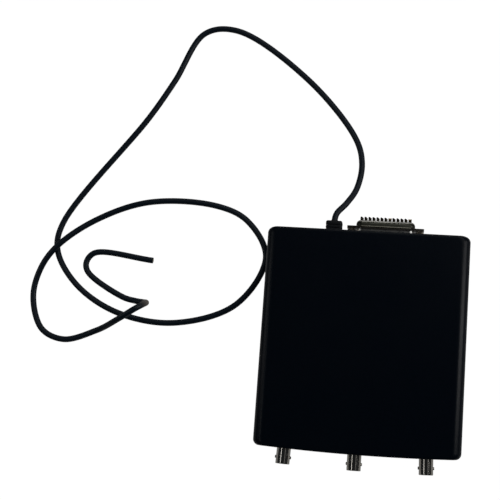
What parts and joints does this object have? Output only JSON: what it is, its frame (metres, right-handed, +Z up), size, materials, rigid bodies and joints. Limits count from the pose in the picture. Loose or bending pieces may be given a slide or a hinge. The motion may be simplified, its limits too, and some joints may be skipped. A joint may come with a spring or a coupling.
{
  "type": "pc oscilloscope",
  "caption": "Flat black oscilloscope module for a computer, with bayonet input sockets in front and, at the rear, a multi-way port with a pull-off solder-cup plug and a captive lead.",
  "frame": {"origin": "on the table, under the middle of the instrument's box without its free lead", "axes": "+Z up, +Y towards the rear port and lead, -Y towards the input sockets, +X to the right seen from above with the sockets nearest"},
  "size_m": [0.3121, 0.316, 0.025],
  "materials": {
    "case_plastic": "satin moulded black",
    "panel_plastic": "fine matt black",
    "foot_rubber": "matt",
    "screw_steel": "dark zinc",
    "board_laminate": "green solder mask",
    "tin_plate": "bright tin",
    "chip_epoxy": "matt moulded epoxy",
    "nickel_plate": "bright nickel plate",
    "black_moulding": "matt moulded black",
    "white_moulding": "waxy white",
    "gold_plate": "thin gold plate",
    "shell_steel": "dull yellowish tin plate",
    "post_brass": "turned brass, plated thin",
    "lead_pvc": "satin black jacket"
  },
  "bodies": {
    "case": {"top_shell": "case_plastic", "bottom_shell": "case_plastic", "front_panel": "panel_plastic", "rear_panel": "panel_plastic", "foot_1": "foot_rubber", "foot_2": "foot_rubber", "foot_3": "foot_rubber", "foot_4": "foot_rubber", "case_screw_1": "screw_steel", "case_screw_2": "screw_steel", "case_screw_3": "screw_steel", "case_screw_4": "screw_steel", "main_board": "board_laminate", "input_shield": "tin_plate", "converter_chip_1": "chip_epoxy", "converter_chip_2": "chip_epoxy", "logic_chip": "chip_epoxy", "memory_chip": "chip_epoxy", "usb_chip": "chip_epoxy", "clock_can": "tin_plate", "power_choke": "chip_epoxy", "socket_barrel_1": "nickel_plate", "socket_barrel_2": "nickel_plate", "socket_barrel_3": "nickel_plate", "socket_nut_1": "nickel_plate", "socket_nut_2": "nickel_plate", "socket_nut_3": "nickel_plate", "socket_housing_1": "black_moulding", "socket_housing_2": "black_moulding", "socket_housing_3": "black_moulding", "socket_dielectric_1": "white_moulding", "socket_dielectric_2": "white_moulding", "socket_dielectric_3": "white_moulding", "socket_contact_1": "gold_plate", "socket_contact_2": "gold_plate", "socket_contact_3": "gold_plate", "port_shell": "shell_steel", "port_insulator": "black_moulding", "port_contacts": "tin_plate", "jack_post_left": "post_brass", "jack_post_right": "post_brass", "strain_relief": "lead_pvc", "usb_lead": "lead_pvc", "lead_tail": "lead_pvc", "lead_header": "white_moulding"},
    "plug": {"plug_front_shell": "shell_steel", "plug_rear_shell": "shell_steel", "plug_front_insulator": "black_moulding", "plug_rear_insulator": "black_moulding", "plug_contacts_upper": "gold_plate", "plug_contacts_lower": "gold_plate"}
  },
  "joints": [
    {"name": "plug_slide", "type": "slide", "parent": "case", "child": "plug", "axis": [0, 1, 0], "range_m": [0, 0.007]}
  ]
}
